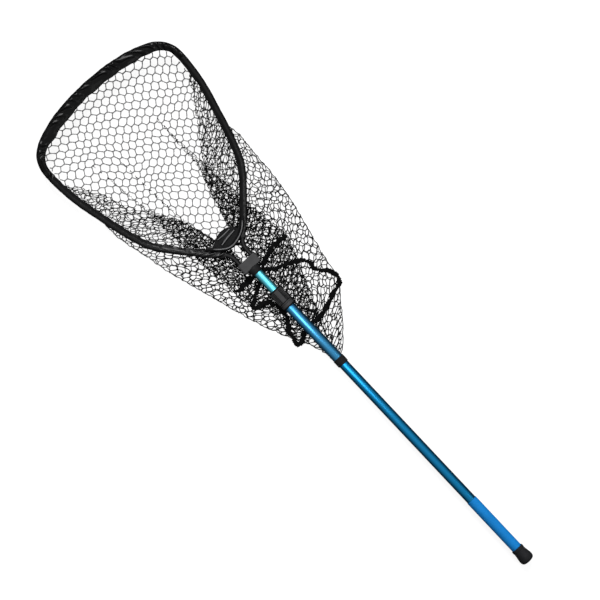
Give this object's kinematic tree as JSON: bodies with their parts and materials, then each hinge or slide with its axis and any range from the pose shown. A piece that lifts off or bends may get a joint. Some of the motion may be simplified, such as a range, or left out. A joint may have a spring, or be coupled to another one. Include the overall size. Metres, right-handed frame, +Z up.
{
  "type": "landing net",
  "caption": "Fishing landing net laid flat: padded rounded hoop, flattened mesh bag, two-legged yoke, telescoping blue handle with twist lock, collar ring, grip sleeve and rubber end cap.",
  "frame": {"origin": "on the surface that the net lies on, under the centre of its bounding box", "axes": "+X along the handle towards the end cap, +Y across the hoop, +Z up from the surface, out of the hoop's mouth"},
  "size_m": [1.5014, 0.4236, 0.0404],
  "materials": {
    "blue_tube": "satin blue anodised",
    "blue_grip": "matt blue sleeve",
    "black_tube": "black coated",
    "rim_sleeve": "coated black fabric with a soft sheen",
    "netting": "black knotted mesh",
    "black_cord": "matt black",
    "black_plastic": "moulded, satin",
    "grey_plastic": "moulded, fine texture",
    "natural_plastic": "natural acetal",
    "steel_screw": "zinc plated",
    "cap_rubber": "matt black",
    "foam": "closed-cell foam"
  },
  "bodies": {
    "head": {"hoop_tube": "black_tube", "sleeve_left": "rim_sleeve", "sleeve_far": "rim_sleeve", "sleeve_right": "rim_sleeve", "head_rope": "black_cord", "throat_cover": "black_plastic", "throat_base": "black_plastic", "throat_screw_1": "steel_screw", "throat_screw_2": "steel_screw", "yoke_body": "grey_plastic", "yoke_screw_1": "steel_screw", "yoke_screw_2": "steel_screw", "yoke_ferrule": "grey_plastic", "front_tube": "blue_tube", "front_tube_rivet": "steel_screw", "front_tube_plug": "black_plastic", "net_bag": "netting", "bag_seam": "black_cord", "bag_seam_end": "black_cord"},
    "mid": {"mid_tube": "blue_tube", "lock_body": "grey_plastic", "lock_collet": "natural_plastic", "collar_collet": "natural_plastic"},
    "lock": {"lock_nut": "grey_plastic"},
    "collar": {"collar_ring": "black_plastic"},
    "rear": {"rear_tube": "blue_tube", "rear_guide_ring": "natural_plastic", "grip_sleeve": "blue_grip", "end_cap": "cap_rubber", "float_plug": "foam"}
  },
  "joints": [
    {"name": "front_slide", "type": "slide", "parent": "head", "child": "mid", "axis": [1, 0, -0.0078], "range_m": [-0.05, 0.3]},
    {"name": "rear_slide", "type": "slide", "parent": "mid", "child": "rear", "axis": [1, 0, -0.0078], "range_m": [-0.13, 0]},
    {"name": "lock_turn", "type": "hinge", "parent": "mid", "child": "lock", "pos_m": [-0.08484, -0.00803, 0.02369], "axis": [1, 0, -0.0078], "range_deg": [0, 90]},
    {"name": "collar_turn", "type": "hinge", "parent": "mid", "child": "collar", "pos_m": [0.11816, -0.00803, 0.02211], "axis": [1, 0, -0.0078], "range_deg": [0, 60]}
  ]
}
